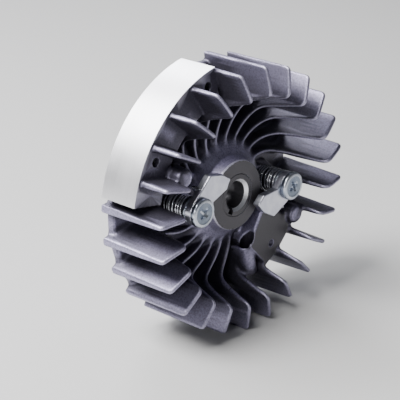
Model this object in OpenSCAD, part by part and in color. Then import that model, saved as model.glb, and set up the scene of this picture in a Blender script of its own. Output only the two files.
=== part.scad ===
// Fan flywheel of a small two-stroke engine, with its two starter pawls.
// The wheel stands on its rim: its axis lies along Y, the finned front faces -Y and +Z is up.
// Every piece is drawn with the axis along Z and its front at +Z, then stood up by place().
// Heights are measured from the outer front corners of the fins, and are negative towards the back.

/* [Fan] */
// Diameter over the fins
fan_d = 100; // [80:1:125]
// Length of the fins along the axis, at their tips
fan_len = 29.7; // [24:0.1:38]
// Number of fins
fin_count = 24; // [18:1:28]
// Thickness of a fin
fin_t = 3.1; // [2:0.1:3.4]
// Angle of the first fin from +X, counter-clockwise from the front
fin_start = 85.15; // [60:0.05:100]
// How far in from the tips the front edge of a fin turns down into the inlet
blade_depth = 11.25; // [9:0.25:14]
// How far that corner stands forward of the tip corner
throat_rise = 1.7; // [0:0.1:3]
// Angle by which a fin leans back between tip and throat
fin_lean = 2.6; // [0:0.1:5]
// Angle by which a fin sweeps forward between throat and hub
fin_sweep = 20.2; // [10:0.1:28]
// Height of the low ribs that carry the fins on to the hub
rib_h = -16.7; // [-19:0.1:-15]
// Radius of a fin's tip corner
fin_corner = 2; // [0.5:0.1:3]

/* [Web and hub] */
// How far in from the tips the web's rim lies
rim_inset = 3.2; // [2:0.1:8]
// Thickness of the web
web_t = 3.4; // [2.5:0.1:4.5]
// Height of the web's front face beside the hub
web_in_h = -20.2; // [-22:0.1:-19]
// Height of the hub's front face
hub_front = -10.1; // [-12:0.1:-9]
// Casting round the bush at the hub's front face
hub_wall = 3; // [2:0.1:5]
// How much the hub's flank widens to its foot
hub_flare = 1.1; // [0.5:0.1:2]
// Width of the cone that runs from the hub's foot into the web
cone_w = 5.2; // [4:0.1:7]
// How far the hub stands out behind the fins
hub_back = 1; // [0:0.1:3]

/* [Crank bore] */
// Radius of the straight end of the crank bore
bore_r = 5.1; // [4.5:0.05:5.5]
// Length of the straight end
bore_len = 6; // [4:0.5:8]
// How much the bore's taper widens to the back
taper_rise = 1.8; // [1:0.05:2.2]
// Wall of the steel bush at the taper's wide end
bush_wall = 3.4; // [2.4:0.1:4]
// How far the collar that locks the bush stands out of it
collar_ledge = 1.3; // [0.5:0.1:2]
// Width of the nut's seat, the bush's front face
seat_wall = 3.1; // [2.6:0.1:3.3]
// Length of the bush's narrower front end
spigot_len = 3; // [2:0.5:6]
// Width of the keyway
key_w = 2.5; // [2:0.1:4]
// How deep the keyway is cut past the straight bore
key_depth = 2.3; // [2:0.1:2.6]
// Direction of the keyway
key_angle = -121.6; // [-180:0.1:180]

/* [Magnet sector] */
// How far the turned band stands out past the fins
band_proud = 1.3; // [0.5:0.1:2]
// How far the band's back edge lies in front of the back of the fins
band_lift = 1.25; // [0:0.05:4]
// Width of the band
band_w = 16.1; // [14:0.1:17]
// Casting between the magnet and the inside of the sector
sector_wall = 3.3; // [2:0.1:5]
// First angle of the band
band_start = 101; // [100:0.5:104]
// Last angle of the band
band_end = 170; // [166:0.5:172]
// Middle of the magnet
magnet_mid = 128.6; // [125:0.1:135]
// Half angle of the magnet
magnet_half = 15.5; // [10:0.5:17]
// Angle across a pole shoe
pole_span = 12; // [8:0.5:13]
// Skin of the casting over the pole faces
pole_skin = 0.6; // [0.4:0.1:1.2]
// Radial height of the magnet and the pole shoes
pole_h = 9.4; // [7:0.1:10]
// Casting in front of and behind the magnet
magnet_wall = 1.8; // [1.2:0.1:2.5]
// Radius of a pole pin
pin_r = 1.6; // [1:0.1:2]
// How deep the pins lie below the sector's front face
pin_sunk = 2.4; // [1:0.1:3]

/* [Starter pawls] */
// Radius of the circle through the pawl pivots
pivot_r = 24.7; // [23.5:0.1:27]
// Direction of the left pivot
pivot_angle = 175.7; // [170:0.1:190]
// Height of the front of the screw heads
screw_front = -3.5; // [-5:0.1:-2]
// How far a screw head reaches past the pawl's eye
head_over = 0.3; // [0.1:0.1:0.8]
// Thickness of a screw head
head_t = 2; // [1.5:0.1:2.6]
// Radius of the screw's shoulder
shoulder_r = 3.2; // [3:0.05:3.4]
// Radius of the screw's thread
thread_r = 2.5; // [2:0.1:2.8]
// Length of the thread
thread_len = 8.5; // [6:0.5:10]
// Wall of the pawl's eye
eye_wall = 1.85; // [1.5:0.05:2.4]
// Thickness of a pawl
pawl_t = 3; // [2.4:0.1:3.4]
// Length of a pawl from its pivot to its tip
pawl_len = 17.8; // [16:0.1:20]
// Distance of the pawl's outer shoulder from its pivot
shoulder_len = 13.5; // [12:0.1:14.5]
// Direction of the left pawl's arm at rest
left_rest = 27; // [10:0.5:45]
// Direction of the right pawl's arm at rest, turned half a turn
right_rest = 9.5; // [9.5:0.5:45]
// Width of a washer's ring
washer_w = 1.75; // [1.2:0.05:2]
// Thickness of a washer
washer_t = 0.8; // [0.5:0.1:1.2]
// How far the cast post inside a spring stands out past the screw's shoulder
post_ledge = 0.4; // [0.2:0.05:0.6]
// Room left round a spring where the ribs are cut away
well_gap = 1.65; // [1:0.05:2.5]
// Height of the spring's seat
seat_h = -20.4; // [-22:0.1:-19]
// Thickness of the spring's wire
wire_d = 0.9; // [0.7:0.05:1]
// Turns of a spring
turns = 7; // [5:1:8]
// Distance of a stop lug from its pivot
lug_reach = 15.1; // [14:0.1:17]
// Direction of a stop lug from its pivot, counted from the pivot's own radius
lug_turn = -62; // [-75:0.5:-55]
// Radius of a stop lug
lug_r = 3.6; // [3:0.1:4]
// Height of a stop lug's front
lug_h = -6.6; // [-8:0.1:-6]

/* [Counterweight] */
// Height of the counterweight's flat
pad_h = -9.5; // [-12:0.1:-9]
// Distance of its flat inner wall from the wheel's axis
pad_wall = 16.8; // [16:0.1:19]
// Direction of that wall's normal
pad_wall_angle = -31; // [-36:0.5:-26]
// Distance of its flat end wall from the wheel's axis
pad_end_wall = 10.1; // [9:0.1:12]
// Direction of the end wall's normal
pad_end_angle = -138; // [-142:0.5:-130]
// Direction where the counterweight stops beside the right pawl
pad_stop = -29; // [-34:0.5:-28]
// How far in from the fins' inlet corner its outer edge lies
pad_inset = 1.75; // [1:0.25:4]
// Radius of the rounded boss along its end wall
boss_r = 3.3; // [2.8:0.1:4]
// Radius of the slanting hole in the boss
balance_r = 2.4; // [1.5:0.1:2.6]
// Depth of that hole
balance_depth = 8; // [4:0.5:10]
// Slant of that hole towards the back
balance_slant = 20; // [10:1:35]

/* [Hidden] */
$fn = 96;
run_gap = 0.05;
side_gap = 0.1;
slip_gap = 0.1;
cut = 1;
fan_r = fan_d / 2;
throat_r = fan_r - blade_depth;
web_r = fan_r - rim_inset;
back_h = -fan_len;
fin_pitch = 360 / fin_count;
fin_steps = 7;
web_mid = web_in_h - web_t / 2;
band_r = fan_r + band_proud;
band_back = back_h + band_lift;
band_front = band_back + band_w;
web_rim_h = back_h + web_t - 0.2;
dish_out_r = web_r - web_t;
taper_r = bore_r + taper_rise;
bush_r = taper_r + bush_wall;
collar_r = bush_r + collar_ledge;
nut_seat_r = bore_r + seat_wall;
hub_r = bush_r + hub_wall;
hub_foot_r = hub_r + hub_flare;
cone_r = hub_foot_r + cone_w;
dish_in_r = hub_foot_r + 2.1;
hub_back_r = hub_foot_r - 0.2;
bore_chamfer = 1.1;
bore_foot = hub_front - bore_len;
origin_h = (hub_front - bore_chamfer + bore_foot) / 2;
hub_end = back_h - hub_back;
bush_mid = (hub_front + hub_end) / 2;
collar_half = 3.2;
pole_out_r = band_r - pole_skin;
pole_in_r = pole_out_r - pole_h;
sector_in_r = pole_in_r - sector_wall;
magnet_front = band_front - magnet_wall;
magnet_back = band_back + magnet_wall;
pin_dist = (pole_in_r + pole_out_r) / 2;
pin_off = magnet_half + pole_span / 2;
eye_bore_r = shoulder_r + run_gap;
eye_r = eye_bore_r + eye_wall;
head_r = eye_r + head_over;
washer_r = eye_bore_r + washer_w;
post_r = shoulder_r + post_ledge;
head_back = screw_front - head_t;
pawl_front = head_back - side_gap;
pawl_back = pawl_front - pawl_t;
washer_front = pawl_back - side_gap;
post_front = washer_front - washer_t;
coil_r = post_r + slip_gap + wire_d / 2 + 0.35;
seat_r = coil_r + wire_d / 2 + well_gap;
coil_top = post_front - wire_d / 2 - slip_gap;
coil_foot = seat_h + wire_d / 2 + slip_gap;
turn_steps = 24;
wire_sides = 8;
foot_leg = 3.9;
boss_h = pad_h - 0.35 - boss_r;
boss_from = [8.2, -22.9];
boss_angle = -80;
pad_out_r = throat_r - pad_inset;

// A point at radius r and angle a.
function polar(r, a) = [r * cos(a), r * sin(a)];

// Points of an arc round c, from angle a to angle b.
function arc(c, r, a, b, n) = [for (i = [0:n]) c + polar(r, a + (b - a) * i / n)];

// How far round a fin's middle line has turned at radius r: back to the throat, then in an S to the hub.
function inner_share(r) = (throat_r - r) / (throat_r - 18);
function eased(s) = 0.4 * s + 0.6 * s * s * (3 - 2 * s);
function fin_turn(r) = r > throat_r
    ? -fin_lean * (fan_r - r) / (fan_r - throat_r)
    : -fin_lean + fin_sweep * eased(inner_share(r));

// One side of a fin in plan: a point at radius r, and the points from radius a to radius b.
function fin_point(r, side) = polar(r, fin_turn(r) + side * asin(fin_t / 2 / r));
function fin_side(a, b, side) = [for (i = [0:fin_steps]) fin_point(a + (b - a) * i / fin_steps, side)];

// Puts children at angle a round the axis.
module at_angle(a) {
    rotate([0, 0, a]) children();
}

// Stands the wheel up, front towards -Y, with the origin in the middle of the straight crank bore.
module place() {
    translate([0, origin_h, 0]) rotate([90, 0, 0]) children();
}

// A ring or disc between two heights.
module disc(r, low, high) {
    translate([0, 0, low]) cylinder(h = high - low, r = r);
}

// A block curved round the axis.
module curved_block(r_in, r_out, a_from, a_to, low, high) {
    at_angle(a_from)
        rotate_extrude(angle = a_to - a_from)
            translate([r_in, low]) square([r_out - r_in, high - low]);
}

// One piece of a pawl set: side 0 is the left, side 1 the right.
module at_pivot(side) {
    at_angle(pivot_angle + 180 * side) translate([pivot_r, 0, 0]) children();
}

module fin_plan() {
    start_r = cone_r - 2;
    polygon(concat(
        fin_side(start_r, throat_r, -1),
        [fin_point(fan_r + cut, -1), fin_point(fan_r + cut, 1)],
        fin_side(throat_r, start_r, 1)
    ));
}

// Outline, swept round the axis, that every fin and rib fills.
module fin_envelope() {
    tip = [fan_r - fin_corner, -fin_corner];
    polygon(concat(
        [[cone_r - 3, web_mid], [dish_in_r + 5, web_mid], [dish_out_r, back_h + 0.4], [web_r - 1, back_h]],
        [[fan_r, back_h]],
        arc(tip, fin_corner, 0, 85, 3),
        [
            [throat_r + 0.6, throat_rise], [throat_r - 0.4, throat_rise - 0.9],
            [throat_r - 4.7, rib_h + 2.4], [throat_r - 7.5, rib_h], [cone_r - 3, rib_h]
        ]
    ));
}

module fins() {
    intersection() {
        translate([0, 0, back_h])
            linear_extrude(fan_len + throat_rise + cut)
                for (k = [0:fin_count - 1]) rotate(fin_start - k * fin_pitch) fin_plan();
        rotate_extrude() fin_envelope();
    }
}

// The hub, its cone, the dished web and the rim, as one turned shape.
module web_section() {
    polygon([
        [0, hub_front], [hub_r, hub_front], [hub_foot_r, hub_front - 3.9],
        [cone_r, web_in_h + 2.6], [cone_r + 2.4, web_in_h], [web_r - 0.8, web_rim_h], [web_r, web_rim_h - 0.8],
        [web_r, back_h], [dish_out_r, back_h],
        [dish_in_r + 5, web_in_h - web_t], [dish_in_r, web_in_h - web_t - 0.6],
        [hub_back_r, hub_end + 1.5], [hub_back_r - 1, hub_end], [0, hub_end]
    ]);
}

// Where two walls meet, each given by its distance from the axis and its normal's direction.
function corner(da, a, db, b) =
    [da * sin(b) - db * sin(a), db * cos(a) - da * cos(b)] / sin(b - a);

// The counterweight in plan: flat inner wall, flat end wall, then round its outer edge.
module pad_plan() {
    end_turn = acos(pad_end_wall / pad_out_r);
    polygon(concat(
        [corner(pad_wall, pad_wall_angle, 0, pad_stop - 90), corner(pad_wall, pad_wall_angle, pad_end_wall, pad_end_angle)],
        arc([0, 0], pad_out_r, pad_end_angle + end_turn, pad_stop, 10)
    ));
}

// Where the boss along the end wall starts, pointing along it.
module at_boss() {
    translate([boss_from[0], boss_from[1], boss_h]) at_angle(boss_angle) children();
}

// Everything in front of the web's middle, so that what stands on the web grows out of it.
module above_web() {
    rotate_extrude() polygon([
        [dish_in_r, web_mid], [dish_in_r + 5, web_mid], [dish_out_r, back_h + 0.4],
        [dish_out_r, 0], [dish_in_r, 0]
    ]);
}

module counterweight() {
    boss_len = 12;
    intersection() {
        union() {
            translate([0, 0, back_h]) linear_extrude(pad_h - back_h) pad_plan();
            at_boss() {
                rotate([0, 90, 0]) cylinder(h = boss_len, r = boss_r);
                translate([0, 0.2 - boss_r, back_h - boss_h])
                    cube([boss_len, 2 * boss_r - 0.4, boss_h - back_h]);
            }
        }
        above_web();
    }
}

// The slanting hole's mouth cuts the corner between the two walls.
module balance_hole() {
    at_boss() translate([-2, 0, 1.3]) rotate([0, 90 + balance_slant, 0])
        translate([0, 0, -cut]) cylinder(h = balance_depth + 2 + cut, r = balance_r);
}

module pawl_seats() {
    intersection() {
        for (side = [0, 1]) at_pivot(side) {
            disc(seat_r, back_h, seat_h);
            disc(post_r, back_h, post_front);
            at_angle(lug_turn) translate([lug_reach, 0, 0]) disc(lug_r, back_h, lug_h);
        }
        above_web();
    }
}

// Screw threads, keyed bush, magnet set and balance hole are all cut from the same values as what fills them.
module casting_holes() {
    bush_body();
    magnet_room(-magnet_half, magnet_half);
    for (s = [-1, 1]) {
        pole_room(s);
        at_angle(magnet_mid + s * pin_off)
            translate([pin_dist, 0, 0]) disc(pin_r, magnet_back, band_front + cut);
    }
    for (side = [0, 1]) at_pivot(side) disc(thread_r, post_front - thread_len, post_front + cut);
    balance_hole();
}

module flywheel_casting() {
    color("#c3c2cf") place() difference() {
        union() {
            difference() {
                union() {
                    rotate_extrude() web_section();
                    fins();
                    curved_block(sector_in_r, band_r, band_start, band_end, band_back, band_front);
                    curved_block(sector_in_r, web_r, band_start, band_end, back_h, band_back + 1);
                    counterweight();
                }
                for (side = [0, 1]) at_pivot(side) disc(seat_r, seat_h, post_front + cut);
            }
            pawl_seats();
        }
        casting_holes();
    }
}

module bush_body() {
    disc(nut_seat_r, hub_end, hub_front + cut);
    disc(bush_r, hub_end - cut, hub_front - spigot_len);
    disc(collar_r, bush_mid - collar_half, bush_mid + collar_half);
}

module keyway() {
    at_angle(key_angle)
        translate([0, -key_w / 2, hub_end - cut])
            cube([bore_r + key_depth, key_w, hub_front - hub_end + 2 * cut]);
}

module hub_bush() {
    color("#8f9096") place() difference() {
        intersection() {
            bush_body();
            disc(collar_r, hub_end, hub_front);
        }
        disc(bore_r, bore_foot - cut, hub_front + cut);
        translate([0, 0, hub_end]) cylinder(h = bore_foot - hub_end, r1 = taper_r, r2 = bore_r);
        translate([0, 0, hub_front - bore_chamfer])
            cylinder(h = bore_chamfer + cut, r1 = bore_r, r2 = bore_r + bore_chamfer + cut);
        keyway();
    }
}

module magnet_room(a, b) {
    curved_block(pole_in_r, pole_out_r, magnet_mid + a, magnet_mid + b, magnet_back, magnet_front);
}

module pole_room(side) {
    near = side < 0 ? -magnet_half - pole_span : magnet_half;
    magnet_room(near, near + pole_span);
}

module rotor_magnet() {
    color("#4b4c50") place() magnet_room(-magnet_half, magnet_half);
}

module pole_shoe(side) {
    color("#77787d") place() difference() {
        pole_room(side);
        at_angle(magnet_mid + side * pin_off)
            translate([pin_dist, 0, 0]) disc(pin_r, magnet_back - cut, magnet_front + cut);
    }
}

module pole_shoe_leading() { pole_shoe(-1); }

module pole_shoe_trailing() { pole_shoe(1); }

module pole_pins() {
    color("#6e6f75") place() for (s = [-1, 1])
        at_angle(magnet_mid + s * pin_off)
            translate([pin_dist, 0, 0]) disc(pin_r, magnet_back, band_front - pin_sunk);
}

// A pawl's arm in plan, pivot at the origin and arm along +X: an outer shoulder and a hooked tip.
shoulder_at = polar(shoulder_len - 1.2, 36);
edge_from = polar(eye_r, 118);
edge_to = shoulder_at + polar(1.2, 95);
module pawl_arm() {
    polygon(concat(
        [edge_from],
        arc(shoulder_at, 1.2, 95, 50, 4),
        [polar(pawl_len - 1.8, 16)],
        arc([pawl_len - 0.8, 0.2], 0.8, 40, -100, 5),
        [polar(pawl_len - 3, -9), [eye_r + 1.8, -1.6], polar(eye_r, -62), [0, 0]]
    ));
}

module pawl(side, rest) {
    color("#b9bcc4") place() at_pivot(side) at_angle(rest - pivot_angle) difference() {
        union() {
            disc(eye_r, pawl_back, pawl_front);
            translate([0, 0, pawl_back]) linear_extrude(pawl_t) pawl_arm();
        }
        disc(eye_bore_r, pawl_back - cut, pawl_front + cut);
    }
}

module pawl_left() { pawl(0, left_rest); }

module pawl_right() { pawl(1, right_rest); }

module pawl_washer(side) {
    color("#a9adb6") place() at_pivot(side) difference() {
        disc(washer_r, post_front, washer_front);
        disc(eye_bore_r, post_front - cut, washer_front + cut);
    }
}

module pawl_washer_left() { pawl_washer(0); }

module pawl_washer_right() { pawl_washer(1); }

module pawl_screw(side) {
    recess_w = 1.1;
    recess_len = 5.4;
    recess_depth = 1.1;
    color("#aeb6bf") place() at_pivot(side) difference() {
        union() {
            disc(head_r, head_back, screw_front - 0.7);
            translate([0, 0, screw_front - 0.7]) cylinder(h = 0.7, r1 = head_r, r2 = head_r - 1);
            disc(shoulder_r, post_front, head_back);
            disc(thread_r, post_front - thread_len + 0.6, post_front);
        }
        for (a = [45, 135])
            at_angle(a) translate([-recess_len / 2, -recess_w / 2, screw_front - recess_depth])
                cube([recess_len, recess_w, recess_depth + cut]);
    }
}

module pawl_screw_left() { pawl_screw(0); }

module pawl_screw_right() { pawl_screw(1); }

// Middle line of a spring: foot leg, coil, then a leg that bends up beside the pawl's outer edge.
hook_x = coil_r - 0.2;
edge_slope = (edge_to[1] - edge_from[1]) / (edge_to[0] - edge_from[0]);
edge_y = edge_from[1] + (hook_x - edge_from[0]) * edge_slope;
hook_y = edge_y + (wire_d / 2 + slip_gap) * norm([1, edge_slope]);
function coil_angle(u) = 360 * turns * u;
function spring_path() = concat(
    [[coil_r, -foot_leg, coil_foot]],
    [
        for (i = [0:turns * turn_steps])
        let (u = i / (turns * turn_steps))
        concat(polar(coil_r, coil_angle(u)), coil_foot + (coil_top - coil_foot) * u)
    ],
    [[coil_r, hook_y - 1, coil_top], [hook_x, hook_y, coil_top + 1], [hook_x, hook_y + 0.2, pawl_front - 0.6]]
);

// Ring of points round a path's point, square to the path.
function unit(v) = v / norm(v);
function wire_ring(path, i) =
    let (
        ahead = path[min(i + 1, len(path) - 1)],
        behind = path[max(i - 1, 0)],
        along = unit(ahead - behind),
        side = unit(cross(along, [0, 0, 1])),
        up = cross(side, along)
    )
    [for (j = [0:wire_sides - 1])
        path[i] + wire_d / 2 * (cos(360 * j / wire_sides) * side + sin(360 * j / wire_sides) * up)];

module wire(path) {
    n = len(path);
    m = wire_sides;
    walls = [
        for (i = [0:n - 2]) for (j = [0:m - 1])
        [i * m + j, i * m + (j + 1) % m, (i + 1) * m + (j + 1) % m, (i + 1) * m + j]
    ];
    polyhedron(
        [for (i = [0:n - 1]) for (p = wire_ring(path, i)) p],
        concat([[for (j = [m - 1:-1:0]) j]], walls, [[for (j = [0:m - 1]) (n - 1) * m + j]])
    );
}

module pawl_spring(side, rest) {
    color("#8c9098") place() at_pivot(side) at_angle(rest - pivot_angle) wire(spring_path());
}

module pawl_spring_left() { pawl_spring(0, left_rest); }

module pawl_spring_right() { pawl_spring(1, right_rest); }

flywheel_casting();
hub_bush();
rotor_magnet();
pole_shoe_leading();
pole_shoe_trailing();
pole_pins();
pawl_left();
pawl_right();
pawl_spring_left();
pawl_spring_right();
pawl_washer_left();
pawl_washer_right();
pawl_screw_left();
pawl_screw_right();
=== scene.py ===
import math
import bmesh
import bpy
import numpy as np
from mathutils import Matrix, Vector


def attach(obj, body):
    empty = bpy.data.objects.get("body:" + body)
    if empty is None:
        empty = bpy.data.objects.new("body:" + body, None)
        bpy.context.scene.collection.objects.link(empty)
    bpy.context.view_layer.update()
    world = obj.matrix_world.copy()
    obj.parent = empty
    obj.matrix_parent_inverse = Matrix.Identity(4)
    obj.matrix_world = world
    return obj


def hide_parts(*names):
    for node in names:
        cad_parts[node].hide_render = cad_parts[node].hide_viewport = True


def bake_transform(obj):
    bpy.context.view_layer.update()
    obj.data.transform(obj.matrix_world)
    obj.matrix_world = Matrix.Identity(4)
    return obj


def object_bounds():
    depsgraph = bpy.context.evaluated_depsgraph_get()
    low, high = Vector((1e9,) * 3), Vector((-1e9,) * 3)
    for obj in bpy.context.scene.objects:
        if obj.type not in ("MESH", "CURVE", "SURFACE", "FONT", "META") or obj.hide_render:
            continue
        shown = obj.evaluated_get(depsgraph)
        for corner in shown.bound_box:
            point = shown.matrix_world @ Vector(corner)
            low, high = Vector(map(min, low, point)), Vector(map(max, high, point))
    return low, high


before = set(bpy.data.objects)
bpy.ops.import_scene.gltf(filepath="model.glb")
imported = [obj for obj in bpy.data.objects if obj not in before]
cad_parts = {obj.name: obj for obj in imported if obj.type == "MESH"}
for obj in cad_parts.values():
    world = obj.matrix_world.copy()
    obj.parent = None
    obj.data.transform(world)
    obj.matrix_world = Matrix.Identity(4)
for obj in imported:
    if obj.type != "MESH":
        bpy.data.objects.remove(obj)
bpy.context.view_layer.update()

# Shapes are worked out in mm in the wheel's own axes: x right, y up, and height h towards the front,
# counted from the tip corners of the fins. toWorld() turns them into metres in the shared frame.
wheel = {
    "fanRadius": 50.0,
    "finLength": 29.7,
    "originHeight": -13.65,
    "throatRadius": 38.75,
    "hubFront": -10.1,
    "bushRadius": 10.3,
    "bandRadius": 51.3,
    "bandFront": -12.35,
    "bandBack": -28.45,
    "bandStart": 101.0,
    "bandEnd": 170.0,
    "pivotRadius": 24.7,
    "pivotAngle": 175.7,
}


def toWorld(points):
    p = np.asarray(points, float).reshape(-1, 3)
    return np.column_stack([p[:, 0], wheel["originHeight"] - p[:, 2], p[:, 1]]) / 1000


def polar(radius, angle):
    return radius * math.cos(math.radians(angle)), radius * math.sin(math.radians(angle))


# materials

def newMaterial(name, colour, metallic, roughness):
    m = bpy.data.materials.new(name)
    m.use_nodes = True
    shader = m.node_tree.nodes["Principled BSDF"]
    shader.inputs["Base Color"].default_value = (*colour, 1)
    shader.inputs["Metallic"].default_value = metallic
    shader.inputs["Roughness"].default_value = roughness
    m.diffuse_color = (*colour, 1)
    return m, m.node_tree.nodes, m.node_tree.links, shader


def addNoise(nodes, links, coords, scale, detail=4.0, stretch=None, rough=0.55):
    noise = nodes.new("ShaderNodeTexNoise")
    noise.inputs["Scale"].default_value = scale
    noise.inputs["Detail"].default_value = detail
    noise.inputs["Roughness"].default_value = rough
    if stretch:
        mapping = nodes.new("ShaderNodeMapping")
        mapping.inputs["Scale"].default_value = stretch
        links.new(coords, mapping.inputs["Vector"])
        coords = mapping.outputs["Vector"]
    links.new(coords, noise.inputs["Vector"])
    return noise.outputs["Fac"]


def addRamp(nodes, links, value, stops):
    ramp = nodes.new("ShaderNodeValToRGB")
    elements = ramp.color_ramp.elements
    while len(elements) < len(stops):
        elements.new(0.5)
    for element, (place, colour) in zip(elements, stops):
        element.position = place
        element.color = (*colour, 1) if len(colour) == 3 else colour
    links.new(value, ramp.inputs["Fac"])
    return ramp.outputs["Color"]


def addMix(nodes, links, share, a, b, blend="MIX"):
    mix = nodes.new("ShaderNodeMix")
    mix.data_type = "RGBA"
    mix.blend_type = blend
    for socket, value in ((mix.inputs[0], share), (mix.inputs[6], a), (mix.inputs[7], b)):
        if isinstance(value, bpy.types.NodeSocket):
            links.new(value, socket)
        else:
            socket.default_value = value
    return mix.outputs[2]


def addRange(nodes, links, value, low, high, fromLow=0.0, fromHigh=1.0):
    r = nodes.new("ShaderNodeMapRange")
    for name, number in (("From Min", fromLow), ("From Max", fromHigh), ("To Min", low), ("To Max", high)):
        r.inputs[name].default_value = number
    links.new(value, r.inputs["Value"])
    return r.outputs["Result"]


def addBump(nodes, links, shader, heights):
    # heights: list of (socket, distance in metres, strength), stacked one on another
    normal = None
    for height, distance, strength in heights:
        bump = nodes.new("ShaderNodeBump")
        bump.inputs["Distance"].default_value = distance
        bump.inputs["Strength"].default_value = strength
        links.new(height, bump.inputs["Height"])
        if normal:
            links.new(normal, bump.inputs["Normal"])
        normal = bump.outputs["Normal"]
    links.new(normal, shader.inputs["Normal"])


def addMath(nodes, links, operation, a, b):
    m = nodes.new("ShaderNodeMath")
    m.operation = operation
    for socket, value in zip(m.inputs, (a, b)):
        if isinstance(value, bpy.types.NodeSocket):
            links.new(value, socket)
        else:
            socket.default_value = value
    return m.outputs[0]


def axisDistance(nodes, links, coords):
    flat = nodes.new("ShaderNodeVectorMath")
    flat.operation = "MULTIPLY"
    flat.inputs[1].default_value = (1, 0, 1)
    links.new(coords, flat.inputs[0])
    reach = nodes.new("ShaderNodeVectorMath")
    reach.operation = "LENGTH"
    links.new(flat.outputs[0], reach.inputs[0])
    return reach.outputs["Value"]


def addLevel(nodes, links, depth, level, soft=0.06):
    # 1 on the face that was cut at this height (mm), 0 below it
    y = (wheel["originHeight"] - level) / 1000
    return addRange(nodes, links, depth, 1, 0, y + 0.00004, y + (0.04 + soft) / 1000)


castLook = {
    "colour": (0.375, 0.355, 0.50),
    "clouded": (0.32, 0.302, 0.425),
    # shade is the colour of the painted shade in enclosed corners
    "shade": (0.045, 0.042, 0.055),
    # worn is the colour of rubbed edges, and also of the painted highlight on the hub's front edge
    "worn": (0.68, 0.665, 0.78),
    "roughLow": 0.38,
    "roughHigh": 0.58,
    "paintedShade": 0.85,
    "grain": 2600,
    "grainDepth": 0.00003,
    # where the lathe has cut, painted dark as shade: reach from the axis and the flat's upper edge in metres,
    # then the flat's height and how far behind the fins' tips it starts, in mm
    "hubReach": 0.0142,
    "padReach": 0.037,
    "padBelow": -0.008,
    "padLevel": -9.5,
    "padFront": 9.3,
}


def castAluminium():
    look = castLook
    m, nodes, links, shader = newMaterial("castAluminium", look["colour"], 0.85, 0.5)
    coords = nodes.new("ShaderNodeTexCoord").outputs["Object"]
    cloud = addNoise(nodes, links, coords, 90, 3)
    grain = addNoise(nodes, links, coords, look["grain"], 3, rough=0.7)
    pores = addNoise(nodes, links, coords, 1500, 5, rough=0.65)
    tone = addRamp(nodes, links, cloud, [(0.35, look["clouded"]), (0.65, look["colour"])])
    speck = addRamp(nodes, links, pores,
                    [(0.36, (0.5, 0.49, 0.52)), (0.52, (1, 1, 1)), (0.7, (1.25, 1.25, 1.28))])
    tone = addMix(nodes, links, 0.65, tone, speck, "MULTIPLY")
    # painted shade: enclosed corners and recesses are darkened towards the shade colour; standing edges are
    # rubbed bright
    paintedShade = nodes.new("ShaderNodeAttribute")
    paintedShade.attribute_name = "paintedShade"
    paintedShadeShare = addRange(nodes, links, paintedShade.outputs["Fac"], 0, look["paintedShade"], 0.02, 0.36)
    tone = addMix(nodes, links, paintedShadeShare, tone, (*look["shade"], 1))
    wear = nodes.new("ShaderNodeAttribute")
    wear.attribute_name = "wear"
    worn = addRange(nodes, links, wear.outputs["Fac"], 0, 0.9, 0.08, 0.42)
    tone = addMix(nodes, links, worn, tone, (*look["worn"], 1))
    # the hub's front and the counterweight's flat are cut on the lathe and painted dark as shade; the hub's
    # broken edge gets a painted highlight
    place = nodes.new("ShaderNodeSeparateXYZ")
    links.new(coords, place.inputs[0])
    depth, up = place.outputs["Y"], place.outputs["Z"]
    reach = axisDistance(nodes, links, coords)
    onHub = addMath(nodes, links, "LESS_THAN", reach, look["hubReach"])
    hub = addMath(nodes, links, "MULTIPLY", addLevel(nodes, links, depth, wheel["hubFront"]), onHub)
    # painted highlight: a bright line on the hub's front edge, in the worn colour
    hubEdgeHighlight = addLevel(nodes, links, depth, wheel["hubFront"] - 0.6)
    edge = addMath(nodes, links, "MULTIPLY", hubEdgeHighlight, onHub)
    onPad = addMath(nodes, links, "MULTIPLY", addMath(nodes, links, "LESS_THAN", up, look["padBelow"]),
                    addMath(nodes, links, "LESS_THAN", reach, look["padReach"]))
    notHigh = addMath(nodes, links, "GREATER_THAN", depth, (wheel["originHeight"] + look["padFront"]) / 1000)
    pad = addMath(nodes, links, "MULTIPLY", addLevel(nodes, links, depth, look["padLevel"]),
                  addMath(nodes, links, "MULTIPLY", onPad, notHigh))
    paintedShadeFaces = addMath(nodes, links, "MAXIMUM", hub, pad)
    tone = addMix(nodes, links, edge, tone, (*look["worn"], 1))
    tone = addMix(nodes, links, paintedShadeFaces, tone, (*shadedFaceLook["colour"], 1))
    links.new(tone, shader.inputs["Base Color"])
    links.new(addRange(nodes, links, pores, look["roughHigh"], look["roughLow"]), shader.inputs["Roughness"])
    addBump(nodes, links, shader, [
        (cloud, 0.0003, 0.3), (pores, 0.00012, 0.6), (grain, look["grainDepth"], 0.6)])
    return m


# the near-black colour of lathe-faced fronts is painted shade, on the steel bush partly its own darker tone
shadedFaceLook = {"colour": (0.105, 0.102, 0.112), "rough": 0.42, "ringDepth": 0.000012}


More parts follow.
